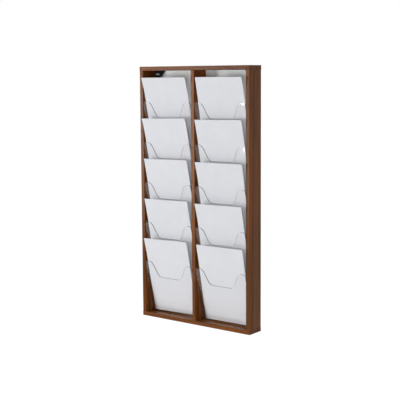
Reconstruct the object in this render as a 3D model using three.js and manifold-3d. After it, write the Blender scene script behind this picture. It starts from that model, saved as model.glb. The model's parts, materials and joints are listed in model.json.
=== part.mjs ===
// Wall-hung periodical display rack: two columns of clear leaning pockets in a wooden frame.
// Millimetres, +Z up. The wall is the plane y = 0 and the rack faces -Y.
import * as THREE from 'three';
import { mergeVertices } from 'three/addons/utils/BufferGeometryUtils.js';
import Module from 'manifold-3d';

const wasm = await Module();
wasm.setup();

// Periodicals that the rack is made to hold
const SHEET_WIDTH = 210;
const SHEET_HEIGHT = 297;
const STACK_THICKNESS = 3;

// Rows and columns
const COLUMN_NAMES = ['left', 'right'];
const ROW_COUNT = 5;
const ROW_PITCH = 155;
const LEAN = THREE.MathUtils.degToRad(10);

// Boards of the frame
const FRAME_DEPTH = 74;
const BOARD_THICKNESS = 16;
const EDGE_EASE = 1.5;
const TOP_ROOM = 23;
const FOOT_CLEARANCE = 1;

// Clear bent-sheet pockets
const CLEAR_SHEET = 3;
const POCKET_ROOM = 18;
const BEND_INSIDE_RADIUS = 3;
const SHEET_SIDE_ROOM = 8.5;
const POCKET_SIDE_GAP = 2.5;
const POCKET_WALL_GAP = 15.5;
const FRONT_LOW_HEIGHT = 145;
const FRONT_HIGH_HEIGHT = 206;
const FRONT_LOW_WIDTH = 86;
const FRONT_EAR_WIDTH = 18.5;
const FRONT_EAR_RADIUS = 8;
const POCKET_BACK_HEIGHT = 120;

// Cross battens that carry the pockets
const BATTEN_HEIGHT = 32;
const BATTEN_THICKNESS = 15;
const BATTEN_RISE = 50;
const HOUSING_DEPTH = 5;

// Round-head screws through the pocket backs
const POCKET_SCREW_SPREAD = 160;
const POCKET_SCREW_RADIUS = 1.75;
const POCKET_SCREW_GRIP = 12;
const POCKET_SCREW_HEAD_RADIUS = 3.6;
const POCKET_SCREW_HEAD_HEIGHT = 2.2;
// The rounding of a head, as shares of its own radius and height
const CROWN_RADIUS_SHARE = 0.6;
const CROWN_HEIGHT_SHARE = 0.2;
const RIM_HEIGHT_SHARE = 0.3;

// Stub tenons on the ends of the uprights, glued into the rails
const TENON_LENGTH = 8;
const TENON_THICKNESS = 6;
const TENON_SHOULDER = 18;

// Hanger plates let into the top back corners
const PLATE_LEG = 77;
const PLATE_THICKNESS = 2;
const PLATE_TIP_CLIP = 4;
const PLATE_INSET = 2.5;
const KEYHOLE_FROM_CORNER = 27;
const KEYHOLE_HEAD_RADIUS = 5;
const KEYHOLE_SLOT_RADIUS = 2.4;
const KEYHOLE_SLOT_REACH = 9;
const PLATE_SCREW_REACH = 48;
const PLATE_SCREW_RADIUS = 1.6;
const PLATE_SCREW_HEAD_RADIUS = 3.1;
const PLATE_SCREW_HEAD_HEIGHT = 1.5;
const PLATE_SCREW_LENGTH = 14;
const PLATE_SCREW_SINK = 0.15;

// Clearances and roundness
const FIT = 0.3;
const CUT_MARGIN = 2;
const VERTEX_MERGE = 1e-4;
const ROUND_SIDES = 10;
const ARC_STEPS = 5;
const CURVE_STEPS = 10;

// Sizes worked out from the driving dimensions
const COLUMN_COUNT = COLUMN_NAMES.length;
const POCKET_WIDTH = SHEET_WIDTH + 2 * SHEET_SIDE_ROOM;
const POCKET_DEPTH = POCKET_ROOM + 2 * CLEAR_SHEET;
const CELL_WIDTH = POCKET_WIDTH + 2 * POCKET_SIDE_GAP;
const CELL_STEP = CELL_WIDTH + BOARD_THICKNESS;
const FRAME_WIDTH = COLUMN_COUNT * CELL_STEP + BOARD_THICKNESS;
const SHEET_FRONT = CLEAR_SHEET + FIT;
// The stack's lower front edge rests on the inside of the bend
const BEND_LIFT =
  BEND_INSIDE_RADIUS - Math.sqrt(BEND_INSIDE_RADIUS ** 2 - (BEND_INSIDE_RADIUS - FIT) ** 2);
const SHEET_FOOT = CLEAR_SHEET + BEND_LIFT + FIT;
const SHEET_RISE =
  (SHEET_FOOT + SHEET_HEIGHT) * Math.cos(LEAN) + (SHEET_FRONT + STACK_THICKNESS) * Math.sin(LEAN);
const LOWEST_FOOT = BOARD_THICKNESS + FOOT_CLEARANCE;
const UPRIGHT_TOP = LOWEST_FOOT + (ROW_COUNT - 1) * ROW_PITCH + SHEET_RISE + TOP_ROOM;
const UPRIGHT_LENGTH = UPRIGHT_TOP - BOARD_THICKNESS;
const FRAME_HEIGHT = UPRIGHT_TOP + BOARD_THICKNESS;
const FOOT_Y = -(POCKET_WALL_GAP + POCKET_DEPTH * Math.cos(LEAN));
const BATTEN_FRONT = POCKET_DEPTH + FIT;
const BATTEN_LENGTH = FRAME_WIDTH - 2 * (BOARD_THICKNESS - HOUSING_DEPTH + FIT);
const POCKET_SCREW_HEIGHT = BATTEN_RISE + BATTEN_HEIGHT / 2;

const FINISH = {
  wood: new THREE.MeshStandardMaterial({ color: '#67412a', roughness: 0.5, metalness: 0 }),
  batten: new THREE.MeshStandardMaterial({ color: '#7a5438', roughness: 0.6, metalness: 0 }),
  clear: new THREE.MeshStandardMaterial({ color: '#e8eef0', roughness: 0.08, metalness: 0 }),
  paper: new THREE.MeshStandardMaterial({ color: '#dcdde2', roughness: 0.85, metalness: 0 }),
  black: new THREE.MeshStandardMaterial({ color: '#161616', roughness: 0.45, metalness: 0.6 }),
  steel: new THREE.MeshStandardMaterial({ color: '#b9bcc0', roughness: 0.3, metalness: 1 }),
};

// Solids and meshes

function solidFrom(geometry) {
  const bare = geometry.clone();
  bare.deleteAttribute('normal');
  bare.deleteAttribute('uv');
  const merged = mergeVertices(bare, VERTEX_MERGE);
  const source = merged.index.array;
  const corners = [];
  for (let i = 0; i < source.length; i += 3) {
    const [a, b, c] = [source[i], source[i + 1], source[i + 2]];
    if (a !== b && b !== c && c !== a) corners.push(a, b, c);
  }
  return new wasm.Manifold(new wasm.Mesh({
    numProp: 3,
    vertProperties: new Float32Array(merged.attributes.position.array),
    triVerts: new Uint32Array(corners),
  }));
}

function meshFrom(name, solid, material) {
  const { vertProperties, triVerts } = solid.getMesh();
  const indexed = new THREE.BufferGeometry();
  indexed.setAttribute('position', new THREE.BufferAttribute(vertProperties, 3));
  indexed.setIndex(new THREE.BufferAttribute(triVerts, 1));
  const geometry = indexed.toNonIndexed();
  geometry.computeVertexNormals();
  const mesh = new THREE.Mesh(geometry, material);
  mesh.name = name;
  return mesh;
}

function boxSolid(from, to) {
  const size = to.map((high, axis) => high - from[axis]);
  const geometry = new THREE.BoxGeometry(...size);
  geometry.translate(...from.map((low, axis) => low + size[axis] / 2));
  return solidFrom(geometry);
}

// A round bar with its axis along +Y from the origin
function barSolid(radius, length) {
  const geometry = new THREE.CylinderGeometry(radius, radius, length, ROUND_SIDES);
  geometry.translate(0, length / 2, 0);
  return solidFrom(geometry);
}

// A turned solid about +Y, its [radius, y] profile running from the axis up to the axis
function turnedSolid(profile) {
  const points = profile.map(([radius, y]) => new THREE.Vector2(radius, y));
  return solidFrom(new THREE.LatheGeometry(points, ROUND_SIDES));
}

function prismSolid(shape, length) {
  return solidFrom(new THREE.ExtrudeGeometry(shape, {
    depth: length,
    bevelEnabled: false,
    curveSegments: ARC_STEPS,
  }));
}

function joined(solids) {
  return solids.reduce((whole, next) => whole.add(next));
}

function cutBy(solid, cutters) {
  return cutters.reduce((rest, cutter) => rest.subtract(cutter), solid);
}

function placed(solid, matrix) {
  return solid.transform(matrix.elements);
}

// Places in the rack

function columnX(column) {
  return (column - (COLUMN_COUNT - 1) / 2) * CELL_STEP;
}

// Row 1 is the top one
function rowFoot(row) {
  return LOWEST_FOOT + (ROW_COUNT - row) * ROW_PITCH;
}

// The leaning frame of a row: origin at the pockets' front foot, +Z up the slope, +Y to the back
function rowMatrix(row) {
  const matrix = new THREE.Matrix4().makeRotationX(LEAN);
  return matrix.setPosition(0, FOOT_Y, rowFoot(row));
}

const ROWS = Array.from({ length: ROW_COUNT }, (unused, index) => index + 1);

// Clear pocket: front, bottom and back bent from one sheet

function pocketProfile() {
  const inner = BEND_INSIDE_RADIUS;
  const outer = BEND_INSIDE_RADIUS + CLEAR_SHEET;
  const shape = new THREE.Shape();
  shape.moveTo(0, FRONT_HIGH_HEIGHT);
  shape.lineTo(0, outer);
  shape.absarc(outer, outer, outer, Math.PI, 1.5 * Math.PI, false);
  shape.absarc(POCKET_DEPTH - outer, outer, outer, 1.5 * Math.PI, 2 * Math.PI, false);
  shape.lineTo(POCKET_DEPTH, POCKET_BACK_HEIGHT);
  shape.lineTo(POCKET_DEPTH - CLEAR_SHEET, POCKET_BACK_HEIGHT);
  shape.absarc(POCKET_DEPTH - outer, outer, inner, 0, -0.5 * Math.PI, true);
  shape.absarc(outer, outer, inner, 1.5 * Math.PI, Math.PI, true);
  shape.lineTo(CLEAR_SHEET, FRONT_HIGH_HEIGHT);
  return shape;
}

// What is cut away above the front's edge: low in the middle, an S-curve up to each ear
function frontCutOutline() {
  const side = POCKET_WIDTH / 2;
  const low = FRONT_LOW_WIDTH / 2;
  const high = side - FRONT_EAR_WIDTH;
  const middle = (low + high) / 2;
  const round = FRONT_EAR_RADIUS;
  const top = FRONT_HIGH_HEIGHT;
  const shape = new THREE.Shape();
  shape.moveTo(-side, top - round);
  shape.absarc(-side + round, top - round, round, Math.PI, 0.5 * Math.PI, true);
  shape.lineTo(-high, top);
  shape.bezierCurveTo(-middle, top, -middle, FRONT_LOW_HEIGHT, -low, FRONT_LOW_HEIGHT);
  shape.lineTo(low, FRONT_LOW_HEIGHT);
  shape.bezierCurveTo(middle, FRONT_LOW_HEIGHT, middle, top, high, top);
  shape.absarc(side - round, top - round, round, 0.5 * Math.PI, 0, true);
  shape.lineTo(side + CUT_MARGIN, top - round);
  shape.lineTo(side + CUT_MARGIN, top + CUT_MARGIN);
  shape.lineTo(-side - CUT_MARGIN, top + CUT_MARGIN);
  shape.lineTo(-side - CUT_MARGIN, top - round);
  return shape;
}

function frontCutter() {
  const geometry = new THREE.ExtrudeGeometry(frontCutOutline(), {
    depth: CLEAR_SHEET + 2 * CUT_MARGIN,
    bevelEnabled: false,
    curveSegments: CURVE_STEPS,
  });
  geometry.rotateX(Math.PI / 2);
  geometry.translate(0, CLEAR_SHEET + CUT_MARGIN, 0);
  return solidFrom(geometry);
}

function screwPlaces() {
  return [-1, 1].map((side) => [side * POCKET_SCREW_SPREAD / 2, POCKET_SCREW_HEIGHT]);
}

function pocketSolid() {
  const geometry = new THREE.ExtrudeGeometry(pocketProfile(), {
    depth: POCKET_WIDTH,
    bevelEnabled: false,
    curveSegments: ARC_STEPS,
  });
  geometry.rotateX(Math.PI / 2);
  geometry.rotateZ(Math.PI / 2);
  geometry.translate(-POCKET_WIDTH / 2, 0, 0);
  const holes = screwPlaces().map(([x, z]) =>
    barSolid(POCKET_SCREW_RADIUS + FIT, CLEAR_SHEET + 2 * CUT_MARGIN)
      .translate([x, POCKET_DEPTH - CLEAR_SHEET - CUT_MARGIN, z]));
  return cutBy(solidFrom(geometry), [frontCutter(), ...holes]);
}

// Round-head screw, its head against the inside of the pocket's back
function pocketScrewSolid() {
  const seat = POCKET_DEPTH - CLEAR_SHEET - FIT;
  const crown = seat - POCKET_SCREW_HEAD_HEIGHT;
  const tip = POCKET_DEPTH + POCKET_SCREW_GRIP;
  const shoulder = crown + CROWN_HEIGHT_SHARE * POCKET_SCREW_HEAD_HEIGHT;
  const rim = seat - RIM_HEIGHT_SHARE * POCKET_SCREW_HEAD_HEIGHT;
  return turnedSolid([
    [0, crown],
    [CROWN_RADIUS_SHARE * POCKET_SCREW_HEAD_RADIUS, shoulder],
    [POCKET_SCREW_HEAD_RADIUS, rim],
    [POCKET_SCREW_HEAD_RADIUS, seat],
    [POCKET_SCREW_RADIUS, seat],
    [POCKET_SCREW_RADIUS, tip - 2 * POCKET_SCREW_RADIUS],
    [0, tip],
  ]);
}

// Batten behind a row of pockets, its ends in the housings of the sides
function battenBlock(margin, reachBack) {
  const half = BATTEN_LENGTH / 2 + margin;
  return boxSolid(
    [-half, BATTEN_FRONT - margin, BATTEN_RISE - margin],
    [half, BATTEN_FRONT + BATTEN_THICKNESS + margin + reachBack, BATTEN_RISE + BATTEN_HEIGHT + margin],
  );
}

function battenSolid() {
  const holes = COLUMN_NAMES.flatMap((name, column) => screwPlaces().map(([x, z]) =>
    barSolid(POCKET_SCREW_RADIUS + FIT, POCKET_SCREW_GRIP + CUT_MARGIN + FIT)
      .translate([columnX(column) + x, POCKET_DEPTH - CUT_MARGIN, z])));
  return cutBy(battenBlock(0, 0), holes);
}

// Blank periodical: a block of leaves with its folded spine rounded
function periodicalSolid() {
  const side = SHEET_WIDTH / 2;
  const fold = STACK_THICKNESS / 2;
  const shape = new THREE.Shape();
  shape.moveTo(side, 0);
  shape.lineTo(side, STACK_THICKNESS);
  shape.lineTo(fold - side, STACK_THICKNESS);
  shape.absarc(fold - side, fold, fold, 0.5 * Math.PI, 1.5 * Math.PI, false);
  return prismSolid(shape, SHEET_HEIGHT).translate([0, SHEET_FRONT, SHEET_FOOT]);
}

// Boards of the frame, eased along their long edges

function boardSection(thickness, depth) {
  const r = EDGE_EASE;
  const shape = new THREE.Shape();
  shape.moveTo(r, 0);
  shape.absarc(thickness - r, r, r, 1.5 * Math.PI, 2 * Math.PI, false);
  shape.absarc(thickness - r, depth - r, r, 0, 0.5 * Math.PI, false);
  shape.absarc(r, depth - r, r, 0.5 * Math.PI, Math.PI, false);
  shape.absarc(r, r, r, Math.PI, 1.5 * Math.PI, false);
  return shape;
}

function boardBlank(length) {
  const section = boardSection(BOARD_THICKNESS, FRAME_DEPTH);
  return prismSolid(section, length).translate([-BOARD_THICKNESS / 2, -FRAME_DEPTH, 0]);
}

const UPRIGHT_NAMES = ['left_side', 'centre_divider', 'right_side'];

function uprightX(index) {
  return (index - COLUMN_COUNT / 2) * CELL_STEP;
}

// Tenon at an upright's end, reaching out from the joint; margin makes its mortise
function tenonSolid(index, jointZ, outwards, margin) {
  const half = TENON_THICKNESS / 2 + margin;
  const ends = [jointZ - outwards * CUT_MARGIN, jointZ + outwards * (TENON_LENGTH - FIT + margin)];
  return boxSolid(
    [uprightX(index) - half, TENON_SHOULDER - FRAME_DEPTH - margin, Math.min(...ends)],
    [uprightX(index) + half, margin - TENON_SHOULDER, Math.max(...ends)],
  );
}

function uprightBlank(index) {
  const body = boardBlank(UPRIGHT_LENGTH).translate([uprightX(index), 0, BOARD_THICKNESS]);
  return joined([
    body,
    tenonSolid(index, BOARD_THICKNESS, -1, 0),
    tenonSolid(index, UPRIGHT_TOP, 1, 0),
  ]);
}

// A rail lies across, so its blank is turned from +Z to +X
function railBlank(bottomZ) {
  return boardBlank(FRAME_WIDTH)
    .rotate([0, 90, 0])
    .translate([-FRAME_WIDTH / 2, 0, bottomZ + BOARD_THICKNESS / 2]);
}

function mortises(jointZ, outwards) {
  return UPRIGHT_NAMES.map((name, index) => tenonSolid(index, jointZ, outwards, FIT));
}

// Hanger plates: drawn from the corner, x inwards and z down, then mirrored for the right corner

function plateOutline(margin) {
  const clip = PLATE_TIP_CLIP;
  const leg = PLATE_LEG;
  const m = margin;
  const shape = new THREE.Shape();
  shape.moveTo(-m, -m);
  shape.lineTo(leg + m, -m);
  shape.lineTo(leg + m, clip + m);
  shape.lineTo(clip + m, leg + m);
  shape.lineTo(-m, leg + m);
  return shape;
}

function plateBlank(margin, thickness) {
  const geometry = new THREE.ExtrudeGeometry(plateOutline(margin), {
    depth: thickness,
    bevelEnabled: false,
  });
  geometry.rotateX(-Math.PI / 2);
  geometry.translate(0, -PLATE_THICKNESS, 0);
  return solidFrom(geometry);
}

// A round hole for the head of a wall screw, with a level slot for its shank on either side
function keyholeCutter() {
  const length = PLATE_THICKNESS + 2 * CUT_MARGIN;
  const reach = KEYHOLE_SLOT_REACH;
  const head = barSolid(KEYHOLE_HEAD_RADIUS, length);
  const slot = boxSolid(
    [-reach, 0, -KEYHOLE_SLOT_RADIUS],
    [reach, length, KEYHOLE_SLOT_RADIUS],
  );
  const ends = [-reach, reach].map((x) => barSolid(KEYHOLE_SLOT_RADIUS, length).translate([x, 0, 0]));
  const start = -PLATE_THICKNESS - CUT_MARGIN;
  return joined([head, slot, ...ends]).translate([KEYHOLE_FROM_CORNER, start, -KEYHOLE_FROM_CORNER]);
}

// Screw centres measured from the plate's corner, on the middle of the boards' back edges
function plateScrewPlaces() {
  const edge = BOARD_THICKNESS / 2 - PLATE_INSET;
  return [[edge, -edge], [PLATE_SCREW_REACH, -edge], [edge, -PLATE_SCREW_REACH]];
}

function plateScrewSolid(margin) {
  const top = -PLATE_SCREW_SINK;
  const neck = top - PLATE_SCREW_HEAD_HEIGHT;
  const tip = top - PLATE_SCREW_LENGTH;
  const shank = PLATE_SCREW_RADIUS + margin;
  return turnedSolid([
    [0, tip - margin],
    [shank, tip + 2 * PLATE_SCREW_RADIUS - margin],
    [shank, neck],
    [PLATE_SCREW_HEAD_RADIUS + margin, top],
    [0, top],
  ]);
}

function plateScrews(margin) {
  return plateScrewPlaces().map(([x, z]) => plateScrewSolid(margin).translate([x, 0, z]));
}

// The space above a sunk head, so that its hole opens at the plate's face
function plateScrewMouths() {
  return plateScrewPlaces().map(([x, z]) =>
    barSolid(PLATE_SCREW_HEAD_RADIUS + FIT, PLATE_SCREW_SINK + CUT_MARGIN)
      .translate([x, -PLATE_SCREW_SINK, z]));
}

function plateSolid() {
  const cuts = [keyholeCutter(), ...plateScrews(FIT), ...plateScrewMouths()];
  return cutBy(plateBlank(0, PLATE_THICKNESS), cuts);
}

function atCorner(solid, side) {
  const shown = side > 0 ? solid.mirror([1, 0, 0]) : solid;
  return shown.translate([side * (FRAME_WIDTH / 2 - PLATE_INSET), 0, FRAME_HEIGHT - PLATE_INSET]);
}

// Assembly

const rack = new THREE.Group();
rack.name = 'periodical_display_rack';
const add = (name, solid, finish) => rack.add(meshFrom(name, solid, finish));

const corners = [[-1, 'left'], [1, 'right']];
const plateRecesses = corners.flatMap(([side]) => {
  const cutters = [plateBlank(FIT, PLATE_THICKNESS + CUT_MARGIN), ...plateScrews(FIT)];
  return cutters.map((cutter) => atCorner(cutter, side));
});

// Housings in the sides are blind; the divider is notched from its back edge to pass over the battens
const housings = ROWS.map((row) => placed(battenBlock(FIT, 0), rowMatrix(row)));
const notches = ROWS.map((row) => placed(battenBlock(FIT, FRAME_DEPTH), rowMatrix(row)));
UPRIGHT_NAMES.forEach((name, index) => {
  const isDivider = uprightX(index) === 0;
  const cuts = isDivider ? notches : [...housings, ...plateRecesses];
  add(name, cutBy(uprightBlank(index), cuts), FINISH.wood);
});
const topCuts = [...plateRecesses, ...mortises(UPRIGHT_TOP, 1)];
add('top_rail', cutBy(railBlank(UPRIGHT_TOP), topCuts), FINISH.wood);
add('bottom_rail', cutBy(railBlank(0), mortises(BOARD_THICKNESS, -1)), FINISH.wood);

const pocketShape = pocketSolid();
const pocketScrewShape = pocketScrewSolid();
const battenShape = battenSolid();
const periodicalShape = periodicalSolid();
ROWS.forEach((row) => {
  const leaningRow = new THREE.Group();
  leaningRow.applyMatrix4(rowMatrix(row));
  leaningRow.add(meshFrom(`batten_${row}`, battenShape, FINISH.batten));
  COLUMN_NAMES.forEach((columnName, column) => {
    const cell = new THREE.Group();
    cell.position.x = columnX(column);
    cell.add(meshFrom(`pocket_${columnName}_${row}`, pocketShape, FINISH.clear));
    cell.add(meshFrom(`periodical_${columnName}_${row}`, periodicalShape, FINISH.paper));
    screwPlaces().forEach(([x, z], index) => {
      const name = `pocket_screw_${columnName}_${row}_${index + 1}`;
      const screw = meshFrom(name, pocketScrewShape, FINISH.steel);
      screw.position.set(x, 0, z);
      cell.add(screw);
    });
    leaningRow.add(cell);
  });
  rack.add(leaningRow);
});

corners.forEach(([side, name]) => {
  add(`hanger_plate_${name}`, atCorner(plateSolid(), side), FINISH.black);
  plateScrews(0).forEach((screw, index) =>
    add(`hanger_screw_${name}_${index + 1}`, atCorner(screw, side), FINISH.steel));
});

// The origin is the middle of the divider's back face
rack.position.z = -FRAME_HEIGHT / 2;

export default rack;
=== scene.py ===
"""Looks of a wall-hung periodical display rack.

A stained wooden frame holds two columns of clear leaning pockets, with a blank periodical in each.
Metres, +Z up. The wall is the plane y = 0 and the rack faces -Y.
"""

import json
import logging
import math
from dataclasses import dataclass
from enum import Enum

import bmesh
import bpy
import numpy as np
from mathutils import Matrix, Vector


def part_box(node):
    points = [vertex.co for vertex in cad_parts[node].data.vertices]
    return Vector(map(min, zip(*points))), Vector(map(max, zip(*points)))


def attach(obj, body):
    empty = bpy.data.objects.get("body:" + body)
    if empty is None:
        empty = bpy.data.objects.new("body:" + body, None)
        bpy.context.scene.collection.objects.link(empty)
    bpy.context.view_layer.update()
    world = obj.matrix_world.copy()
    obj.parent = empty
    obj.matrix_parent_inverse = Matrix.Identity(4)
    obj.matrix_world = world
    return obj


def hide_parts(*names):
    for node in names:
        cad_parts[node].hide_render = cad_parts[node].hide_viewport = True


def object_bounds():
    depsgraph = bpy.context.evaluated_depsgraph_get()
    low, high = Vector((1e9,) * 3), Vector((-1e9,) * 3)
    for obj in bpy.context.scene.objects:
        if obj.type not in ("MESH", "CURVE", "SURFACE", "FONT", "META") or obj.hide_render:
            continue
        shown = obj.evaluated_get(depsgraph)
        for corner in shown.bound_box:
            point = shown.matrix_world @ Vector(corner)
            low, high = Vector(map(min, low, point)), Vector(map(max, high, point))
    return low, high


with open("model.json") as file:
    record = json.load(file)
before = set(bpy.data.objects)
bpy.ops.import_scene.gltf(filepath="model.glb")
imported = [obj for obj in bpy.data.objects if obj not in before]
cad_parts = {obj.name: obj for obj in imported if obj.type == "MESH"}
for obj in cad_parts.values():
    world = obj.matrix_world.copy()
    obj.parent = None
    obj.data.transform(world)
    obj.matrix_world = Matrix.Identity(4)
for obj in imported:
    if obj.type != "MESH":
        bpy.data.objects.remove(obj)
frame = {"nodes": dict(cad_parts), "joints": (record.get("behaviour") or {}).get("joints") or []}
CAD_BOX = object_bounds()

log = logging.getLogger("periodical_rack")

MM = 0.001
DEGREE = math.pi / 180
COLUMNS = ("left", "right")
ROWS = range(1, 6)
RACK = "rack"
WHITE = (1.0, 1.0, 1.0, 1.0)
WELD_DISTANCE = 0.002 * MM
SHARP_ANGLE = math.radians(38)
BEVEL_ANGLE = math.radians(40)
BEVEL_SEGMENTS = 2

Array = np.ndarray
Colour = tuple[int, int, int]
Point = tuple[float, float, float]


# Surfaces worked out on grids


@dataclass
class Surface:
    """Points and quads of a mesh, with the finish that each quad takes."""

    points: Array
    quads: Array
    finishes: Array


def unit(vectors: Array) -> Array:
    """Each vector divided by its length."""
    return vectors / np.linalg.norm(vectors, axis=-1, keepdims=True)


def without(vectors: Array, direction: Array) -> Array:
    """Each vector less its part along a unit direction."""
    return vectors - (vectors * direction).sum(-1, keepdims=True) * direction


def grid_quads(rows: int, columns: int) -> Array:
    """Quads of a grid whose points are numbered row by row.

    Args:
        rows: how many rows of points.
        columns: how many points in a row.

    Returns:
        One row of four point numbers for each cell.
    """
    corner = (np.arange(rows - 1)[:, None] * columns + np.arange(columns - 1)).ravel()
    return np.stack([corner, corner + 1, corner + columns + 1, corner + columns], axis=1)


def gathered(surfaces: list[Surface]) -> Surface:
    """Several surfaces as one, with each one's point numbers moved past those before it."""
    starts = np.cumsum([0] + [len(s.points) for s in surfaces[:-1]])
    return Surface(
        np.concatenate([s.points for s in surfaces]),
        np.concatenate([s.quads + start for s, start in zip(surfaces, starts)]),
        np.concatenate([s.finishes for s in surfaces]),
    )


def thick_sheet(middle: Array, thickness: float, ease: float, ease_steps: int = 4) -> Surface:
    """A closed sheet of even thickness round a middle surface.

    Formula: the two faces are the middle surface moved half the thickness either way along its normal,
    which is the cross product of the grid's two directions. The rim goes round the grid's border: a
    quarter circle of radius ease, a flat cut and another quarter circle, carried along the border.

    Args:
        middle: grid of points, rows by columns by 3.
        thickness: from face to face.
        ease: radius of the eased edges.
        ease_steps: points on each quarter circle.

    Returns:
        The surface, with finish 0 on its faces and finish 1 on its rim.
    """
    rows, columns = middle.shape[:2]
    half = thickness / 2
    normal = unit(np.cross(np.gradient(middle, axis=1), np.gradient(middle, axis=0)))
    faces = np.stack([middle + half * normal, middle - half * normal]).reshape(-1, 3)
    number = np.arange(rows * columns).reshape(rows, columns)
    border = np.concatenate([number[0, :-1], number[:-1, -1], number[-1, :0:-1], number[:0:-1, 0]])
    inner = middle[
        np.clip(border // columns, 1, rows - 2),
        np.clip(border % columns, 1, columns - 2),
    ]
    edge = middle.reshape(-1, 3)[border]
    across = normal.reshape(-1, 3)[border]
    along = unit(np.roll(edge, -1, axis=0) - np.roll(edge, 1, axis=0))
    outwards = unit(without(without(edge - inner, across), along))
    angle = np.linspace(0, math.pi / 2, ease_steps)
    reach = ease * np.sin(angle)
    rise = half - ease + ease * np.cos(angle)
    reach = np.concatenate([reach, reach[::-1]])[1:-1, None, None]
    rise = np.concatenate([rise, -rise[::-1]])[1:-1, None, None]
    rim = (edge + reach * outwards + rise * across).reshape(-1, 3)
    rings = np.arange(len(rim)).reshape(-1, len(border)) + len(faces)
    rings = np.concatenate([border[None], rings, border[None] + rows * columns])
    following = np.roll(rings, -1, axis=1)
    rim_quads = np.stack([rings[:-1], following[:-1], following[1:], rings[1:]], axis=-1).reshape(-1, 4)
    cells = grid_quads(rows, columns)
    return Surface(
        np.concatenate([faces, rim]),
        np.concatenate([cells, cells[:, ::-1] + rows * columns, rim_quads]),
        np.concatenate([np.zeros(2 * len(cells), int), np.ones(len(rim_quads), int)]),
    )


def turned_solid(radius: Array, height: Array, sides: int) -> Array:
    """A profile carried round the z axis.

    Formula: each profile point (r, z) gives a ring of points (r cos a, r sin a, z).

    Args:
        radius: distance of each profile point from the axis, nought at both ends.
        height: place of each profile point along the axis.
        sides: points round each ring.

    Returns:
        Grid of points, profile by ring by 3, with its first point of each ring repeated at the end.
    """
    angle = np.linspace(0, 2 * math.pi, sides + 1)
    rings = np.stack([np.outer(radius, np.cos(angle)), np.outer(radius, np.sin(angle))], axis=-1)
    level = np.broadcast_to(np.asarray(height)[:, None, None], rings.shape[:2] + (1,))
    return np.concatenate([rings, level], axis=-1)


def cumulative(values: Array, step: float) -> Array:
    """Running integral down the first axis by the trapezium rule, starting from nought."""
    slices = (values[1:] + values[:-1]) * (step / 2)
    return np.concatenate([np.zeros_like(values[:1]), np.cumsum(slices, axis=0)])


def make_piece(name: str, surface: Surface, finishes: list[bpy.types.Material]) -> bpy.types.Object:
    """Puts a surface into the scene as a smooth-shaded object at the origin.

    Args:
        name: the piece's name.
        surface: its points, quads and finish numbers.
        finishes: the materials that the finish numbers stand for.

    Returns:
        The new object.
    """
    mesh = bpy.data.meshes.new(name)
    mesh.from_pydata(surface.points.tolist(), [], surface.quads.tolist())
    mesh.polygons.foreach_set("material_index", surface.finishes.astype(np.int32))
    mesh.polygons.foreach_set("use_smooth", np.ones(len(surface.quads), bool))
    for finish in finishes:
        mesh.materials.append(finish)
    work = bmesh.new()
    work.from_mesh(mesh)
    bmesh.ops.remove_doubles(work, verts=work.verts, dist=WELD_DISTANCE)
    bmesh.ops.recalc_face_normals(work, faces=work.faces)
    work.to_mesh(mesh)
    work.free()
    mesh.set_sharp_from_angle(angle=SHARP_ANGLE)
    piece = bpy.data.objects.new(name, mesh)
    bpy.context.scene.collection.objects.link(piece)
    return piece


# Node trees

COLOUR_SOCKET = "NodeSocketColor"
VALUE_SOCKET = "NodeSocketFloat"
VECTOR_SOCKET = "NodeSocketVector"
NOISE_ROUGHNESS = 0.6


def linear(colour: Colour) -> tuple[float, float, float, float]:
    """A screen colour as linear light, by the sRGB curve.

    Args:
        colour: red, green and blue, from 0 to 255.

    Returns:
        The linear colour, with full alpha.
    """
    share = np.asarray(colour, float) / 255
    light = np.where(share <= 0.04045, share / 12.92, ((share + 0.055) / 1.055) ** 2.4)
    return (*light.tolist(), 1.0)


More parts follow.
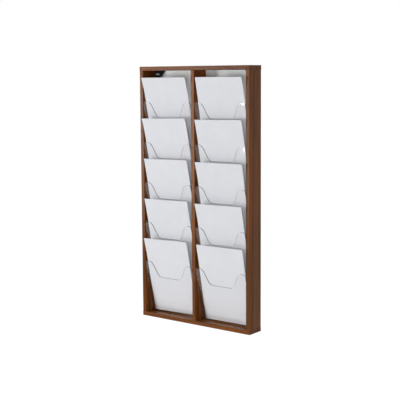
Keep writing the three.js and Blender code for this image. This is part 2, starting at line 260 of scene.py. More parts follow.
class NodeSheet:
    """A node tree with short calls that add nodes and join them."""

    def __init__(self, tree: bpy.types.NodeTree) -> None:
        """Keeps the tree that the calls work on."""
        self.tree = tree

    def node(self, kind: str, inputs: dict | None = None, **settings: object) -> bpy.types.Node:
        """Adds a node.

        Args:
            kind: the node's type name.
            inputs: values or output sockets for its inputs, by name or number.
            settings: the node's own properties.

        Returns:
            The new node.
        """
        made = self.tree.nodes.new(kind)
        for key, value in settings.items():
            setattr(made, key, value)
        for key, value in (inputs or {}).items():
            if isinstance(value, bpy.types.NodeSocket):
                self.tree.links.new(value, made.inputs[key])
            else:
                made.inputs[key].default_value = value
        return made

    def math(self, operation: str, *values: object) -> bpy.types.NodeSocket:
        """The result of a Math node on values or sockets."""
        return self.node("ShaderNodeMath", dict(enumerate(values)), operation=operation).outputs[0]

    def remapped(self, value: object, *limits: object) -> bpy.types.NodeSocket:
        """A value moved from one range into another and held there.

        Args:
            value: the value or its socket.
            limits: low and high end of the first range, then of the second.

        Returns:
            The result.
        """
        labels = ("From Min", "From Max", "To Min", "To Max")
        return self.node("ShaderNodeMapRange", {"Value": value, **dict(zip(labels, limits))}).outputs[0]

    def noise(self, vector: object, stretch: Point, detail: float) -> bpy.types.NodeSocket:
        """Noise that may be finer along one axis than along another.

        Args:
            vector: the socket of the place.
            stretch: blotches per metre along each axis.
            detail: how many finer layers it has.

        Returns:
            The noise.
        """
        scaled = self.node("ShaderNodeVectorMath", {0: vector, 1: stretch}, operation="MULTIPLY").outputs[0]
        inputs = {"Vector": scaled, "Scale": 1.0, "Detail": detail, "Roughness": NOISE_ROUGHNESS}
        return self.node("ShaderNodeTexNoise", inputs).outputs[0]

    def mixed(self, share: object, first: object, second: object) -> bpy.types.NodeSocket:
        """A colour between two colours."""
        inputs = {0: share, 6: first, 7: second}
        return self.node("ShaderNodeMix", inputs, data_type="RGBA").outputs[2]

    def group(self, group: bpy.types.NodeTree, inputs: dict) -> bpy.types.Node:
        """Places a node group and sets its inputs."""
        return self.node("ShaderNodeGroup", inputs, node_tree=group)

    def bumped(self, height: object, strength: float, depth: float) -> bpy.types.NodeSocket:
        """A normal tilted by a height."""
        inputs = {"Height": height, "Strength": strength, "Distance": depth}
        return self.node("ShaderNodeBump", inputs).outputs[0]

    def place(self) -> bpy.types.NodeSocket:
        """The surface's place in the rack's frame, in metres."""
        return self.node("ShaderNodeTexCoord").outputs["Object"]

    def show(self, shader: bpy.types.Node) -> None:
        """Makes a shader the material's surface."""
        self.node("ShaderNodeOutputMaterial", {"Surface": shader.outputs[0]})

    def background_rays(self) -> bpy.types.NodeSocket:
        """Picks out the rays that show the background: from the camera, through clear sheet or mirrored.

        Returns:
            1 for such a ray and 0 for any other.
        """
        path = self.node("ShaderNodeLightPath").outputs
        seen = self.math("MAXIMUM", path["Is Camera Ray"], path["Is Transmission Ray"])
        return self.math("MAXIMUM", seen, path["Is Glossy Ray"])

    def one_sided(self, front: bpy.types.Node) -> bpy.types.Node:
        """Makes a shader clear where its surface is seen from behind.

        Args:
            front: the shader of the surface's front.

        Returns:
            The shader for both sides.
        """
        clear = self.node("ShaderNodeBsdfTransparent")
        behind = self.node("ShaderNodeNewGeometry").outputs["Backfacing"]
        return self.node("ShaderNodeMixShader", {0: behind, 1: front.outputs[0], 2: clear.outputs[0]})


def new_material(name: str) -> tuple[bpy.types.Material, NodeSheet]:
    """Adds an empty material.

    Args:
        name: the material's name.

    Returns:
        The material and the sheet that fills it.
    """
    made = bpy.data.materials.new(name)
    made.use_nodes = True
    made.node_tree.nodes.clear()
    return made, NodeSheet(made.node_tree)


def new_group(name: str, inputs: dict[str, str]) -> tuple[NodeSheet, dict, bpy.types.Node]:
    """An empty shader node group that puts out a colour, a roughness and a height.

    Args:
        name: the group's name.
        inputs: socket kind of each input, by name.

    Returns:
        The sheet that fills it, its input sockets by name and its output node.
    """
    outputs = {"Color": COLOUR_SOCKET, "Roughness": VALUE_SOCKET, "Height": VALUE_SOCKET}
    group = bpy.data.node_groups.new(name, "ShaderNodeTree")
    for label, kind in inputs.items():
        group.interface.new_socket(name=label, in_out="INPUT", socket_type=kind)
    for label, kind in outputs.items():
        group.interface.new_socket(name=label, in_out="OUTPUT", socket_type=kind)
    sheet = NodeSheet(group)
    source = sheet.node("NodeGroupInput")
    return sheet, {label: source.outputs[label] for label in inputs}, sheet.node("NodeGroupOutput")


@dataclass(frozen=True)
class WoodFigure:
    """Wood figure along the vector's z axis: broad bands, a soft cloud, fine streaks and dark pores.

    Each layer has its blotches per metre along the three axes, and its detail.
    """

    bands: tuple[Point, float] = ((70.0, 70.0, 1.3), 3.0)
    cloud: tuple[Point, float] = ((14.0, 14.0, 3.0), 2.0)
    streaks: tuple[Point, float] = ((520.0, 520.0, 5.0), 4.0)
    pores: tuple[Point, float] = ((2600.0, 2600.0, 42.0), 1.0)
    band_share: float = 0.45
    cloud_share: float = 0.25
    streak_share: float = 0.3
    tone_ends: tuple[float, float] = (0.4, 0.6)
    pore_ends: tuple[float, float] = (0.6, 0.75)
    pore_strength: float = 0.4
    streak_ends: tuple[float, float] = (0.3, 0.7)
    streak_dulling: tuple[float, float] = (-0.06, 0.08)
    streak_height: float = 0.5
    pore_dulling: float = 0.12

    def group(self) -> bpy.types.NodeTree:
        """Builds the node group once.

        Returns:
            The group.
        """
        name = "wood_grain"
        if name in bpy.data.node_groups:
            return bpy.data.node_groups[name]
        sheet, given, out = new_group(name, {
            "Vector": VECTOR_SOCKET, "Gloss": VALUE_SOCKET,
            "Light": COLOUR_SOCKET, "Dark": COLOUR_SOCKET, "Pore": COLOUR_SOCKET,
        })
        bands, cloud, streaks, pores = (
            sheet.noise(given["Vector"], *layer)
            for layer in (self.bands, self.cloud, self.streaks, self.pores)
        )
        pores = sheet.remapped(pores, *self.pore_ends, 0.0, 1.0)
        tone = sheet.math("MULTIPLY", cloud, self.cloud_share)
        tone = sheet.math("MULTIPLY_ADD", bands, self.band_share, tone)
        tone = sheet.math("MULTIPLY_ADD", streaks, self.streak_share, tone)
        tone = sheet.remapped(tone, *self.tone_ends, 0.0, 1.0)
        colour = sheet.mixed(tone, given["Dark"], given["Light"])
        colour = sheet.mixed(sheet.math("MULTIPLY", pores, self.pore_strength), colour, given["Pore"])
        dulling = sheet.remapped(streaks, *self.streak_ends, *self.streak_dulling)
        rough = sheet.math("ADD", dulling, given["Gloss"])
        rough = sheet.math("MULTIPLY_ADD", pores, self.pore_dulling, rough)
        height = sheet.math("SUBTRACT", sheet.math("MULTIPLY", streaks, self.streak_height), pores)
        sheet.tree.links.new(colour, out.inputs["Color"])
        sheet.tree.links.new(rough, out.inputs["Roughness"])
        sheet.tree.links.new(height, out.inputs["Height"])
        return sheet.tree


@dataclass(frozen=True)
class Mottle:
    """Even blotches of two colours with a matching height, for paper, paint and metal."""

    detail: float = 3.0
    coarse_share: float = 0.6
    fine_share: float = 0.4
    share_ends: tuple[float, float] = (0.35, 0.65)

    def group(self) -> bpy.types.NodeTree:
        """Builds the node group once.

        Returns:
            The group.
        """
        name = "surface_mottle"
        if name in bpy.data.node_groups:
            return bpy.data.node_groups[name]
        sheet, given, out = new_group(name, {
            "Vector": VECTOR_SOCKET, "Coarse": VALUE_SOCKET, "Fine": VALUE_SOCKET,
            "First": COLOUR_SOCKET, "Second": COLOUR_SOCKET, "Low": VALUE_SOCKET, "High": VALUE_SOCKET,
        })
        coarse, fine = (
            sheet.node(
                "ShaderNodeTexNoise",
                {"Vector": given["Vector"], "Scale": given[label], "Detail": self.detail},
            ).outputs[0]
            for label in ("Coarse", "Fine")
        )
        share = sheet.math("MULTIPLY", fine, self.fine_share)
        share = sheet.math("MULTIPLY_ADD", coarse, self.coarse_share, share)
        share = sheet.remapped(share, *self.share_ends, 0.0, 1.0)
        rough = sheet.remapped(share, 0.0, 1.0, given["Low"], given["High"])
        sheet.tree.links.new(sheet.mixed(share, given["First"], given["Second"]), out.inputs["Color"])
        sheet.tree.links.new(rough, out.inputs["Roughness"])
        sheet.tree.links.new(fine, out.inputs["Height"])
        return sheet.tree


# Finishes


class Grain(Enum):
    """The way that a board's grain runs, as the turn that brings it along the figure's z axis."""

    UPRIGHT = (0.0, 0.0, 0.0)
    ACROSS = (0.0, -math.pi / 2, 0.0)


@dataclass(frozen=True)
class WoodFinish:
    """Wood with its stain and lacquer."""

    light: Colour
    dark: Colour
    pore: Colour
    roughness: float
    shine: float
    grain_depth: float = 0.25 * MM
    grain_bump: float = 0.3

    def material(self, name: str, grain: Grain, offset: Point) -> bpy.types.Material:
        """A material of this wood.

        Args:
            name: the material's name.
            grain: the way the grain runs.
            offset: where in the log the board is cut from.

        Returns:
            The material.
        """
        made, sheet = new_material(name)
        turned = sheet.node(
            "ShaderNodeMapping",
            {"Vector": sheet.place(), "Rotation": grain.value, "Location": offset},
        )
        figure = sheet.group(WoodFigure().group(), {
            "Vector": turned.outputs[0], "Light": linear(self.light), "Dark": linear(self.dark),
            "Pore": linear(self.pore), "Gloss": self.roughness,
        })
        sheet.show(sheet.node("ShaderNodeBsdfPrincipled", {
            "Base Color": figure.outputs["Color"],
            "Roughness": figure.outputs["Roughness"],
            "Specular IOR Level": self.shine,
            "Normal": sheet.bumped(figure.outputs["Height"], self.grain_bump, self.grain_depth),
        }))
        return made


@dataclass(frozen=True)
class EvenFinish:
    """An even finish of two near colours: paper, paint or metal."""

    first: Colour
    second: Colour
    coarse: float
    fine: float
    roughness: tuple[float, float]
    metal: float = 0.0
    shine: float = 0.5
    bump: float = 0.1
    depth: float = 0.05 * MM

    def material(self, name: str) -> bpy.types.Material:
        """A material of this finish.

        Args:
            name: the material's name.

        Returns:
            The material.
        """
        made, sheet = new_material(name)
        mottle = sheet.group(Mottle().group(), {
            "Vector": sheet.place(), "Coarse": self.coarse, "Fine": self.fine,
            "First": linear(self.first), "Second": linear(self.second),
            "Low": self.roughness[0], "High": self.roughness[1],
        })
        sheet.show(sheet.node("ShaderNodeBsdfPrincipled", {
            "Base Color": mottle.outputs["Color"],
            "Roughness": mottle.outputs["Roughness"],
            "Metallic": self.metal,
            "Specular IOR Level": self.shine,
            "Normal": sheet.bumped(mottle.outputs["Height"], self.bump, self.depth),
        }))
        return made


@dataclass(frozen=True)
class ClearFinish:
    """Clear plastic sheet, faintly wavy, that lamps shine through."""

    tint: Colour
    roughness: float
    wave: float
    wave_depth: float
    ior: float = 1.49

    def material(self, name: str) -> bpy.types.Material:
        """A material of this sheet, clear to rays from lamps and from dull surfaces.

        Args:
            name: the material's name.

        Returns:
            The material.
        """
        made, sheet = new_material(name)
        waves = sheet.noise(sheet.place(), (self.wave,) * 3, detail=1.0)
        glass = sheet.node("ShaderNodeBsdfPrincipled", {
            "Base Color": linear(self.tint),
            "Roughness": self.roughness,
            "IOR": self.ior,
            "Transmission Weight": 1.0,
            "Normal": sheet.bumped(waves, strength=1.0, depth=self.wave_depth),
        })
        clear = sheet.node("ShaderNodeBsdfTransparent", {"Color": linear(self.tint)})
        path = sheet.node("ShaderNodeLightPath")
        straight = sheet.math("MAXIMUM", path.outputs["Is Shadow Ray"], path.outputs["Is Diffuse Ray"])
        mix = {0: straight, 1: glass.outputs[0], 2: clear.outputs[0]}
        sheet.show(sheet.node("ShaderNodeMixShader", mix))
        return made


STAINED_WOOD = WoodFinish((139, 80, 28), (84, 43, 12), (42, 22, 8), roughness=0.22, shine=0.1)
BATTEN_WOOD = WoodFinish((176, 134, 96), (142, 100, 68), (104, 70, 46), roughness=0.6, shine=0.25)
BLANK_PAPER = EvenFinish(
    (234, 235, 239), (230, 231, 236), coarse=30.0, fine=900.0, roughness=(0.82, 0.9), shine=0.2,
)
HANGER_BLACK = EvenFinish(
    (14, 14, 15), (20, 20, 21), coarse=300.0, fine=2400.0, roughness=(0.45, 0.58), shine=0.35, bump=0.25,
)
SCREW_STEEL = EvenFinish(
    (196, 199, 204), (174, 178, 184), coarse=500.0, fine=3000.0, roughness=(0.24, 0.36), metal=1.0,
)
CLEAR_SHEET = ClearFinish((252, 252, 252), roughness=0.03, wave=9.0, wave_depth=0.05 * MM)
CUT_EDGE = ClearFinish((228, 230, 233), roughness=0.14, wave=700.0, wave_depth=0.008 * MM)


# Pieces of the rack


@dataclass(frozen=True)
class LeaningFrame:
    """The frame of one leaning pocket: x across, y to the back, z up the slope, from its front foot."""

    origin: Array
    lean: float

    def placed(self, local: Array) -> Array:
        """Moves points of this frame into the rack's frame.

        Formula: each point is turned about the x axis by the lean and moved by the frame's origin.

        Args:
            local: points in this frame.

        Returns:
            The same points in the rack's frame.
        """
        sine, cosine = math.sin(self.lean), math.cos(self.lean)
        axes = np.array([[1.0, 0.0, 0.0], [0.0, cosine, sine], [0.0, -sine, cosine]])
        return self.origin + local @ axes


@dataclass(frozen=True)
class ClearPocket:
    """A pocket bent from one clear sheet: a front with a wavy edge, a bottom and a low back."""

    width: float = 227 * MM
    thickness: float = 3 * MM
    room: float = 18 * MM
    bend_inside: float = 3 * MM
    front_low: float = 145 * MM
    front_high: float = 206 * MM
    low_width: float = 86 * MM
    ear_width: float = 18.5 * MM
    ear_radius: float = 8 * MM
    back_height: float = 120 * MM
    ease: float = 0.4 * MM
    rim_share: float = 0.003
    level_points: int = 9
    curve_points: int = 25
    ear_points: int = 4
    turn_points: int = 10
    down_points: int = 24
    bend_points: int = 9
    bottom_points: int = 5

    def edge(self) -> tuple[Array, Array]:
        """The front's upper edge from left to right.

        Formula: a level stretch in the middle, then a cubic S-curve with level ends, a level ear and a
        quarter circle down to the side. The left half mirrors the right one.

        Returns:
            How far across each point lies, and how high.
        """
        side = self.width / 2
        low, high = self.low_width / 2, side - self.ear_width
        t = np.linspace(0, 1, self.curve_points)
        wave = t * t * (3 - 2 * t)
        bend = (low + high) / 2
        curve = low * (1 - t) ** 3 + 3 * bend * t * (1 - t) + high * t**3
        turn = np.linspace(0, math.pi / 2, self.turn_points)
        ear = side - self.ear_radius
        across = np.concatenate([
            np.linspace(0, low, self.level_points)[:-1],
            curve,
            np.linspace(high, ear, self.ear_points)[1:-1],
            ear + self.ear_radius * np.sin(turn),
        ])
        up = np.concatenate([
            np.full(self.level_points - 1, self.front_low),
            self.front_low + (self.front_high - self.front_low) * wave,
            np.full(self.ear_points - 2, self.front_high),
            self.front_high - self.ear_radius * (1 - np.cos(turn)),
        ])
        return np.concatenate([-across[:0:-1], across]), np.concatenate([up[:0:-1], up])

    def middle(self) -> Array:
        """The middle surface of the bent sheet.

        Formula: at each place across, the profile runs from the front's edge straight down, round a
        quarter circle, along the bottom, round another quarter circle and straight up the back.

        Returns:
            Grid of points in the pocket's leaning frame, down the profile by across.
        """
        across, edge = self.edge()
        outer = self.bend_inside + self.thickness
        radius = self.bend_inside + self.thickness / 2
        far = self.room + 2 * self.thickness - outer
        down = np.append(1.0, np.linspace(1 - self.rim_share, 0, self.down_points))[:, None]
        front = np.stack(np.broadcast_arrays(outer - radius, outer + (edge - outer) * down), axis=-1)
        angle = np.linspace(0, math.pi / 2, self.bend_points)[1:, None]
        bends = [
            (outer - radius * np.cos(angle), outer - radius * np.sin(angle)),
            (np.linspace(outer, far, self.bottom_points)[1:, None], outer - radius),
            (far + radius * np.sin(angle), outer - radius * np.cos(angle)),
            (far + radius, outer + (self.back_height - self.ease - outer) * down[-2::-1]),
        ]
        rest = [np.stack(np.broadcast_arrays(y, z, across)[:2], axis=-1) for y, z in bends]
        profile = np.concatenate([front, *rest])
        place = np.broadcast_to(across[None, :, None], profile.shape[:2] + (1,))
        return np.concatenate([place, profile], axis=-1)

    def build(self, name: str, place: LeaningFrame, finishes: list[bpy.types.Material]) -> bpy.types.Object:
        """Makes the pocket in its place.

        Args:
            name: the piece's name.
            place: the leaning frame that it stands in.
            finishes: the clear sheet and its cut edge.

        Returns:
            The piece.
        """
        sheet = thick_sheet(self.middle(), self.thickness, self.ease)
        sheet.points = place.placed(sheet.points)
        return make_piece(name, sheet, finishes)


@dataclass(frozen=True)
class Periodical:
    """A blank periodical: folded sheets one inside the other, leaning in its pocket.

    Fields turn, shift and the two droops say how this copy lies: turned in its own plane, moved
    sideways, and its upper corners bent forward.
    """

    turn: float = 0.0
    shift: float = 0.0
    droop_left: float = 0.0
    droop_right: float = 0.0
    width: float = 210 * MM
    height: float = 297 * MM
    thickness: float = 3 * MM
    folded_sheets: int = 5
    paper: float = 0.2 * MM
    paper_ease: float = 0.08 * MM
    fore_edge_step: float = 0.25 * MM
    front_gap: float = 3.3 * MM
    foot_gap: float = 4.99 * MM
    foot_back: float = 4 * MM
    foot_drop: float = 1.5 * MM
    rest_height: float = 206 * MM
    droop_from: float = 200 * MM
    leaf_points: int = 16
    spine_points: int = 9
    up_points: int = 45

    def fold_path(self, sheet: int) -> tuple[Array, Array]:
        """A folded sheet's section, from its front leaf's edge round the spine to its back leaf's edge.

        Formula: a straight leaf, a half circle round the spine and a straight leaf. The sheets inside
        have smaller half circles round the same centre, and every second one's leaves end a little short.

        Args:
            sheet: the sheet's number, 0 for the outermost.

        Returns:
            How far across each point lies, and how far behind the front.
        """
        pitch = self.thickness / (2 * self.folded_sheets)
        radius = (self.folded_sheets - sheet - 0.5) * pitch
        spine, centre = -self.width / 2 + self.thickness / 2, self.thickness / 2
        fore_edge = self.width / 2 - self.fore_edge_step * (sheet % 2)
        leaf = np.linspace(fore_edge, spine, self.leaf_points)
        angle = np.linspace(0, math.pi, self.spine_points)[1:-1]
        across = np.concatenate([leaf, spine - radius * np.sin(angle), leaf[::-1]])
        behind = np.concatenate([
            np.full(self.leaf_points, centre - radius),
            centre - radius * np.cos(angle),
            np.full(self.leaf_points, centre + radius),
        ])
        return across, behind

    def sheet_middle(self, sheet: int) -> Array:
        """The middle surface of one folded sheet.

        Formula: up the sheet its slope angle is nought as far as droop_from and then grows evenly, so
        that the top moves forward by the droop. The section rides on that curve, square to it, and
        the whole is turned about its lower left corner. Its foot stands back by foot_back, and it meets
        the pocket's front at rest_height.

        Args:
            sheet: the sheet's number, 0 for the outermost.

        Returns:
            Grid of points in the pocket's leaning frame, up the sheet by across.
        """
        across, behind = self.fold_path(sheet)
        up = np.linspace(0, self.height, self.up_points)
        share = across / self.width + 0.5
        droop = self.droop_left * (1 - share) + self.droop_right * share
        free = self.height - self.droop_from
        slope = 2 * droop / free**2 * np.maximum(up[:, None] - self.droop_from, 0)
        step = up[1] - up[0]
        y = behind * np.cos(slope) - cumulative(np.sin(slope), step)
        z = behind * np.sin(slope) + cumulative(np.cos(slope), step)
        x = np.broadcast_to(across + self.width / 2, z.shape)
        cosine, sine = math.cos(self.turn), math.sin(self.turn)
        turned = x * cosine - z * sine - self.width / 2 + self.shift
        raised = x * sine + z * cosine + self.foot_gap - self.foot_drop
        y = y + self.front_gap + self.foot_back * (1 - raised / self.rest_height)
        return np.stack([turned, y, raised], axis=-1)

    def build(self, name: str, place: LeaningFrame, finish: bpy.types.Material) -> bpy.types.Object:
        """Makes the periodical in its pocket.

        Args:
            name: the piece's name.
            place: the leaning frame of its pocket.
            finish: its paper.

        Returns:
            The piece.
        """
        leaves = [
            thick_sheet(self.sheet_middle(sheet), self.paper, self.paper_ease, ease_steps=2)
            for sheet in range(self.folded_sheets)
        ]
        whole = gathered(leaves)
        whole.points = place.placed(whole.points)
        whole.finishes[:] = 0
        return make_piece(name, whole, [finish])


class Head(Enum):
    """The form of a screw's head."""

    ROUND = "round"
    COUNTERSUNK = "countersunk"


@dataclass(frozen=True)
class Screw:
    """A cross-recess screw, turned about its axis with its head at the start.

    Fields recess_share and recess_fade say how far out the recess reaches, and recess_wall how wide its
    sloping walls stand.
    """

    head_radius: float
    head_height: float
    shank_radius: float
    length: float
    head: Head
    recess_width: float = 0.9 * MM
    recess_depth: float = 0.9 * MM
    recess_share: float = 0.62
    recess_fade: float = 1.2
    recess_wall: float = 1.5
    dome_share: float = 0.75
    dome_fullness: float = 0.9
    head_points: int = 15
    sides: int = 48

    def points(self) -> Array:
        """The screw's surface, head at z = 0 and tip at z = length.

        Formula: the profile runs from the axis over the head, which is a flattened dome or flat, down
        its side to the shank and along it to the point. The recess lowers the head along two crossed
        strips with sloping walls, by a depth that falls off with the distance from the axis.

        Returns:
            Grid of points, profile by ring by 3.
        """
        share = np.linspace(0, 1, self.head_points)
        crown, collar = np.zeros_like(share), []
        if self.head is Head.ROUND:
            dome = 1 - np.sqrt(1 - self.dome_fullness * share**2)
            crown, collar = self.head_height * self.dome_share * dome, [self.head_height]
        radius = np.concatenate([
            self.head_radius * share,
            [self.head_radius] * len(collar),
            [self.shank_radius, self.shank_radius, 0.0],
        ])
        height = np.concatenate([
            crown,
            collar,
            [self.head_height, self.length - 2 * self.shank_radius, self.length],
        ])
        grid = turned_solid(radius, height, self.sides)
        nearest = np.minimum(np.abs(grid[..., 0]), np.abs(grid[..., 1]))
        reach = np.hypot(grid[..., 0], grid[..., 1]) / (self.recess_share * self.head_radius)
        strips = np.clip(self.recess_wall - 2 * nearest / self.recess_width, 0, 1)
        dent = strips * np.clip(self.recess_fade - reach, 0, 1)
        on_head = (np.arange(len(radius)) < len(share))[:, None]
        grid[..., 2] += self.recess_depth * dent * on_head
        return grid

    def build(
        self, name: str, seat: Array, axis: Array, finish: bpy.types.Material
    ) -> bpy.types.Object:
        """Makes the screw in its place.

        Args:
            name: the piece's name.
            seat: the middle of its head's outer end.
            axis: the way that it points, head to tip.
            finish: its metal.

        Returns:
            The piece.
        """
        grid = self.points()
        across = unit(np.cross(axis, OFF_AXIS))
        axes = np.stack([across, np.cross(axis, across), axis])
        quads = grid_quads(*grid.shape[:2])
        points = seat + grid.reshape(-1, 3) @ axes
        return make_piece(name, Surface(points, quads, np.zeros(len(quads), int)), [finish])


# A direction that no screw points along
OFF_AXIS = np.array([0.3, 0.2, 1.0])
OUT_OF_WALL = np.array([0.0, -1.0, 0.0])
ROUND_HEAD = Screw(
    head_radius=3.6 * MM,
    head_height=2.2 * MM,
    shank_radius=1.75 * MM,
    length=17.5 * MM,
    head=Head.ROUND,
)
COUNTERSUNK = Screw(
    head_radius=3.1 * MM,
    head_height=1.5 * MM,
    shank_radius=1.6 * MM,
    length=14 * MM,
    head=Head.COUNTERSUNK,
    recess_depth=0.7 * MM,
)


# Sub-assemblies


def take_over(piece: bpy.types.Object, node: str, body: str) -> None:
    """Lets a piece stand for a node and ride on a body.

    Args:
        piece: the new piece.
        node: the node that it stands for.
        body: the body that it moves with.
    """
    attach(piece, body)
    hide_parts(node)
    log.info("%s stands for %s on %s", piece.name, node, body)


def dress_node(node: str, finish: bpy.types.Material, bevel: float) -> None:
    """Gives a node its finish, and fine bevels on its sharp edges.

    Args:
        node: the node's name.
        finish: its material.
        bevel: width of the bevels.
    """
    shown = frame["nodes"][node]
    shown.data.materials.clear()
    shown.data.materials.append(finish)
    weld = shown.modifiers.new("weld", "WELD")
    weld.merge_threshold = WELD_DISTANCE
    edges = shown.modifiers.new("eased_edges", "BEVEL")
    edges.width = bevel
    edges.segments = BEVEL_SEGMENTS
    edges.limit_method = "ANGLE"
    edges.angle_limit = BEVEL_ANGLE
    log.info("%s finished as %s", node, finish.name)


@dataclass
class WoodFrame:
    """The sides, divider and rails, and the battens behind the pockets."""

    edge_bevel: float = 0.5 * MM
    log_step: Point = (0.37, 0.21, 0.53)

    def dress(self) -> None:
        """Gives every board its own piece of the log."""
        boards = {
            "left_side": Grain.UPRIGHT,
            "centre_divider": Grain.UPRIGHT,
            "right_side": Grain.UPRIGHT,
            "top_rail": Grain.ACROSS,
            "bottom_rail": Grain.ACROSS,
        }
        for number, (node, grain) in enumerate(boards.items()):
            offset = tuple(step * number for step in self.log_step)
            dress_node(node, STAINED_WOOD.material(f"stained_{node}", grain, offset), self.edge_bevel)
        bare = BATTEN_WOOD.material("bare_batten", Grain.ACROSS, (0.0, 0.0, 0.0))
        for row in ROWS:
            dress_node(f"batten_{row}", bare, self.edge_bevel)


@dataclass
class PocketRows:
    """The clear pockets, their periodicals and the screws that hold them to the battens."""

    pocket: ClearPocket
    lies: dict[tuple[str, int], Periodical]
    screw: Screw
    screws_apart: float = 160 * MM
    screw_rise: float = 66 * MM
    screw_crown: float = 18.5 * MM

    def frame_of(self, column: str, row: int) -> LeaningFrame:
        """The leaning frame of a pocket, found from its periodical's node and joint.

        Args:
            column: left or right.
            row: 1 at the top.

        Returns:
            The frame.
        """
        joint = next(j for j in frame["joints"] if j["name"] == f"lift_{column}_{row}")
        lean = math.atan2(-joint["axis"][1], joint["axis"][2])
        stack = Periodical()
        low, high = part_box(f"periodical_{column}_{row}")
        corner = np.array([(low.x + high.x) / 2, high.y - stack.thickness * math.cos(lean), low.z])
        at_corner = LeaningFrame(corner, lean)
        return LeaningFrame(at_corner.placed(np.array([0.0, -stack.front_gap, -stack.foot_gap])), lean)

    def build(self) -> None:
        """Makes and dresses every pocket, periodical and screw."""
        clear = [CLEAR_SHEET.material("clear_sheet"), CUT_EDGE.material("clear_cut_edge")]
        paper = BLANK_PAPER.material("blank_paper")
        steel = SCREW_STEEL.material("zinc_steel")
        for column in COLUMNS:
            for row in ROWS:
                self.fill(column, row, clear, paper, steel)

    def fill(
        self, column: str, row: int, clear: list[bpy.types.Material],
        paper: bpy.types.Material, steel: bpy.types.Material,
    ) -> None:
        """Makes what one pocket's place holds.

        Args:
            column: left or right.
            row: 1 at the top.
            clear: the clear sheet and its cut edge.
            paper: the periodical's paper.
            steel: the screws' metal.
        """
        place = self.frame_of(column, row)
        pocket = self.pocket.build(f"clear_pocket_{column}_{row}", place, clear)
        take_over(pocket, f"pocket_{column}_{row}", RACK)
        node = f"periodical_{column}_{row}"
        copy = self.lies[column, row].build(f"blank_{node}", place, paper)
        take_over(copy, node, node)
        back = place.placed(np.array([0.0, 1.0, 0.0])) - place.origin
        for number, side in ((1, -0.5), (2, 0.5)):
            node = f"pocket_screw_{column}_{row}_{number}"
            crown = np.array([side * self.screws_apart, self.screw_crown, self.screw_rise])
            piece = self.screw.build(f"round_head_{node}", place.placed(crown), back, steel)
            take_over(piece, node, RACK)


@dataclass
class Hangers:
    """The black corner plates that hang the rack, and their screws."""

    screw: Screw
    edge_bevel: float = 0.25 * MM
    screws_each: int = 3

    def build(self) -> None:
        """Dresses the plates and makes their countersunk screws."""
        black = HANGER_BLACK.material("black_powder_coat")
        steel = SCREW_STEEL.material("zinc_steel_countersunk")
        for side in COLUMNS:
            dress_node(f"hanger_plate_{side}", black, self.edge_bevel)
            for number in range(1, self.screws_each + 1):
                node = f"hanger_screw_{side}_{number}"
                low, high = (np.array(corner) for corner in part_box(node))
                seat = (low + high) / 2
                seat[1] = high[1]
                piece = self.screw.build(f"countersunk_{node}", seat, OUT_OF_WALL, steel)
                take_over(piece, node, RACK)


# Studio


@dataclass(frozen=True)
class Softbox:
    """A flat lamp that faces the rack: where it stands, its light level and its size.

    The azimuth is 0 straight in front and grows to the right for someone who faces the rack.
    """

    name: str
    azimuth: float
    elevation: float
    level: float
    width: float = 1.3
    height: float = 1.3


def stage_plane(name: str, corners: list[Point], finish: bpy.types.Material) -> None:
    """Adds a flat stage piece.

    Args:
        name: its name.
        corners: four corners, round the side that shows.
        finish: its material.
    """
    mesh = bpy.data.meshes.new(name)
    mesh.from_pydata(corners, [], [(0, 1, 2, 3)])
    mesh.materials.append(finish)
    piece = bpy.data.objects.new(name, mesh)
    bpy.context.scene.collection.objects.link(piece)


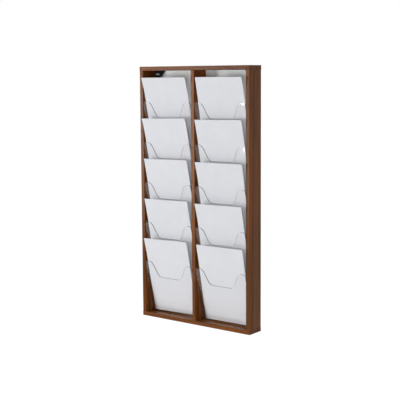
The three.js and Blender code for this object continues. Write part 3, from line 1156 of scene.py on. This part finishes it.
@dataclass
class Studio:
    """Camera, floor, a patch of wall behind the rack, world and lamps.

    The two small glints show as bright reflections on the ears of the right column's pockets.
    """

    yaw: float = math.radians(37.74)
    pitch: float = math.radians(7.38)
    roll: float = math.radians(-0.40)
    focal_pixels: float = 950.3
    picture_pixels: float = 400.0
    sensor: float = 36.0
    eye: Point = (2.1772, -2.8447, 0.4469)
    floor_drop: float = 0.8
    floor_size: float = 30.0
    floor_colour: tuple[float, ...] = (0.9, 0.9, 0.9, 1.0)
    floor_white: float = 1.1
    floor_white_share: float = 0.9
    wall_colour: Colour = (244, 250, 249)
    wall_inset: float = 8 * MM
    wall_gap: float = 1 * MM
    ambient: float = 0.2
    lamp_distance: float = 3.7
    lamps: tuple[Softbox, ...] = (
        Softbox("left_softbox", azimuth=-38.5, elevation=0.5, level=0.39, width=1.0, height=1.2),
        Softbox("high_softbox", azimuth=-55.0, elevation=45.0, level=0.14),
        Softbox("camera_softbox", azimuth=34.0, elevation=1.0, level=0.24, width=0.7, height=0.7),
        Softbox("upper_glint", azimuth=-33.0, elevation=-12.6, level=0.003, width=0.1, height=0.06),
        Softbox("lower_glint", azimuth=-32.9, elevation=-18.0, level=0.004, width=0.13, height=0.065),
        Softbox("back_softbox", azimuth=-170.0, elevation=8.0, level=0.3),
    )

    def camera(self) -> None:
        """Sets up the camera at the photograph's viewing angle."""
        forward = Vector((
            -math.sin(self.yaw) * math.cos(self.pitch),
            math.cos(self.yaw) * math.cos(self.pitch),
            -math.sin(self.pitch),
        ))
        level = Vector((math.cos(self.yaw), math.sin(self.yaw), 0.0))
        above = level.cross(forward)
        right = math.cos(self.roll) * level + math.sin(self.roll) * above
        up = math.cos(self.roll) * above - math.sin(self.roll) * level
        data = bpy.data.cameras.new("photo_camera")
        data.sensor_width = self.sensor
        data.lens = self.focal_pixels * self.sensor / self.picture_pixels
        camera = bpy.data.objects.new("photo_camera", data)
        turn = Matrix((right, up, -forward)).transposed().to_4x4()
        camera.matrix_world = Matrix.Translation(self.eye) @ turn
        bpy.context.scene.collection.objects.link(camera)
        bpy.context.scene.camera = camera

    def floor(self) -> None:
        """Adds the pale floor, white to the camera apart from the shadow on it."""
        made, sheet = new_material("pale_floor")
        dull = sheet.node("ShaderNodeBsdfDiffuse", {"Color": self.floor_colour})
        white = sheet.node("ShaderNodeEmission", {"Color": WHITE, "Strength": self.floor_white})
        share = sheet.math("MULTIPLY", sheet.background_rays(), self.floor_white_share)
        front = sheet.node("ShaderNodeMixShader", {0: share, 1: dull.outputs[0], 2: white.outputs[0]})
        sheet.show(sheet.one_sided(front))
        half, level = self.floor_size / 2, CAD_BOX[0].z - self.floor_drop
        around = ((-half, -half), (half, -half), (half, half), (-half, half))
        stage_plane("floor", [(x, y, level) for x, y in around], made)

    def wall(self) -> None:
        """Adds the patch of wall that shows between the boards, clear to the lamp behind it."""
        made, sheet = new_material("pale_wall")
        dull = sheet.node("ShaderNodeBsdfDiffuse", {"Color": linear(self.wall_colour)})
        lamp_ray = sheet.node("ShaderNodeLightPath").outputs["Is Shadow Ray"]
        clear = sheet.node("ShaderNodeBsdfTransparent")
        front = sheet.node("ShaderNodeMixShader", {0: lamp_ray, 1: dull.outputs[0], 2: clear.outputs[0]})
        sheet.show(sheet.one_sided(front))
        low, high = CAD_BOX
        left, right = low.x + self.wall_inset, high.x - self.wall_inset
        bottom, top = low.z + self.wall_inset, high.z - self.wall_inset
        around = ((left, bottom), (right, bottom), (right, top), (left, top))
        stage_plane("wall_patch", [(x, self.wall_gap, z) for x, z in around], made)

    def world(self) -> None:
        """Adds an even world: white behind the rack, and a plain level of light on it."""
        world = bpy.data.worlds.new("studio")
        world.use_nodes = True
        world.node_tree.nodes.clear()
        sheet = NodeSheet(world.node_tree)
        light, white = (
            sheet.node("ShaderNodeBackground", {"Color": WHITE, "Strength": strength}).outputs[0]
            for strength in (self.ambient, 1.0)
        )
        mix = sheet.node("ShaderNodeMixShader", {0: sheet.background_rays(), 1: light, 2: white})
        sheet.node("ShaderNodeOutputWorld", {"Surface": mix.outputs[0]})
        bpy.context.scene.world = world

    def lamp(self, lamp: Softbox) -> None:
        """Adds a softbox that faces the rack.

        A lamp of P watts at distance d lights a surface that faces it to the level P / (pi d)^2, where
        level 1 shows a white surface as white.

        Args:
            lamp: where it stands and how strong it is.
        """
        azimuth, elevation = math.radians(lamp.azimuth), math.radians(lamp.elevation)
        place = self.lamp_distance * Vector((
            math.sin(azimuth) * math.cos(elevation),
            -math.cos(azimuth) * math.cos(elevation),
            math.sin(elevation),
        ))
        data = bpy.data.lights.new(lamp.name, "AREA")
        data.shape = "RECTANGLE"
        data.size = lamp.width
        data.size_y = lamp.height
        data.energy = lamp.level * (math.pi * self.lamp_distance) ** 2
        placed = bpy.data.objects.new(lamp.name, data)
        placed.location = place
        placed.rotation_euler = (-place).to_track_quat("-Z", "Y").to_euler()
        bpy.context.scene.collection.objects.link(placed)

    def build(self) -> None:
        """Sets up everything round the rack."""
        bpy.context.scene.view_settings.view_transform = "Standard"
        self.camera()
        self.floor()
        self.wall()
        self.world()
        for lamp in self.lamps:
            self.lamp(lamp)


def periodical_lies() -> dict[tuple[str, int], Periodical]:
    """How each periodical lies: its turn, its shift and the droops of its left and right corners.

    Returns:
        The periodicals by column and row.
    """
    return {
        ("left", 1): Periodical(0.3 * DEGREE, 2 * MM, 6 * MM, 6 * MM, foot_back=8 * MM),
        ("left", 2): Periodical(1.2 * DEGREE, 4 * MM, 5 * MM, 4 * MM),
        ("left", 3): Periodical(1.1 * DEGREE, 8 * MM, 1 * MM, 1 * MM),
        ("left", 4): Periodical(1.0 * DEGREE, 8 * MM, 2 * MM, 1 * MM),
        ("left", 5): Periodical(1.2 * DEGREE, 4 * MM, 3 * MM, 1 * MM),
        ("right", 1): Periodical(0.2 * DEGREE, 7 * MM, 1 * MM, 4 * MM),
        ("right", 2): Periodical(0.9 * DEGREE, 8 * MM, 2 * MM, 1 * MM),
        ("right", 3): Periodical(0.2 * DEGREE, 6 * MM, 5 * MM, 1 * MM),
        ("right", 4): Periodical(0.7 * DEGREE, 6 * MM, 5 * MM, 1 * MM),
        ("right", 5): Periodical(0.4 * DEGREE, 8 * MM, 1 * MM, 0.0),
    }


def main() -> None:
    """Builds the studio and dresses the rack."""
    logging.basicConfig(level=logging.INFO, format="%(message)s")
    Studio().build()
    WoodFrame().dress()
    PocketRows(ClearPocket(), periodical_lies(), ROUND_HEAD).build()
    Hangers(COUNTERSUNK).build()


if __name__ == "__main__":
    main()
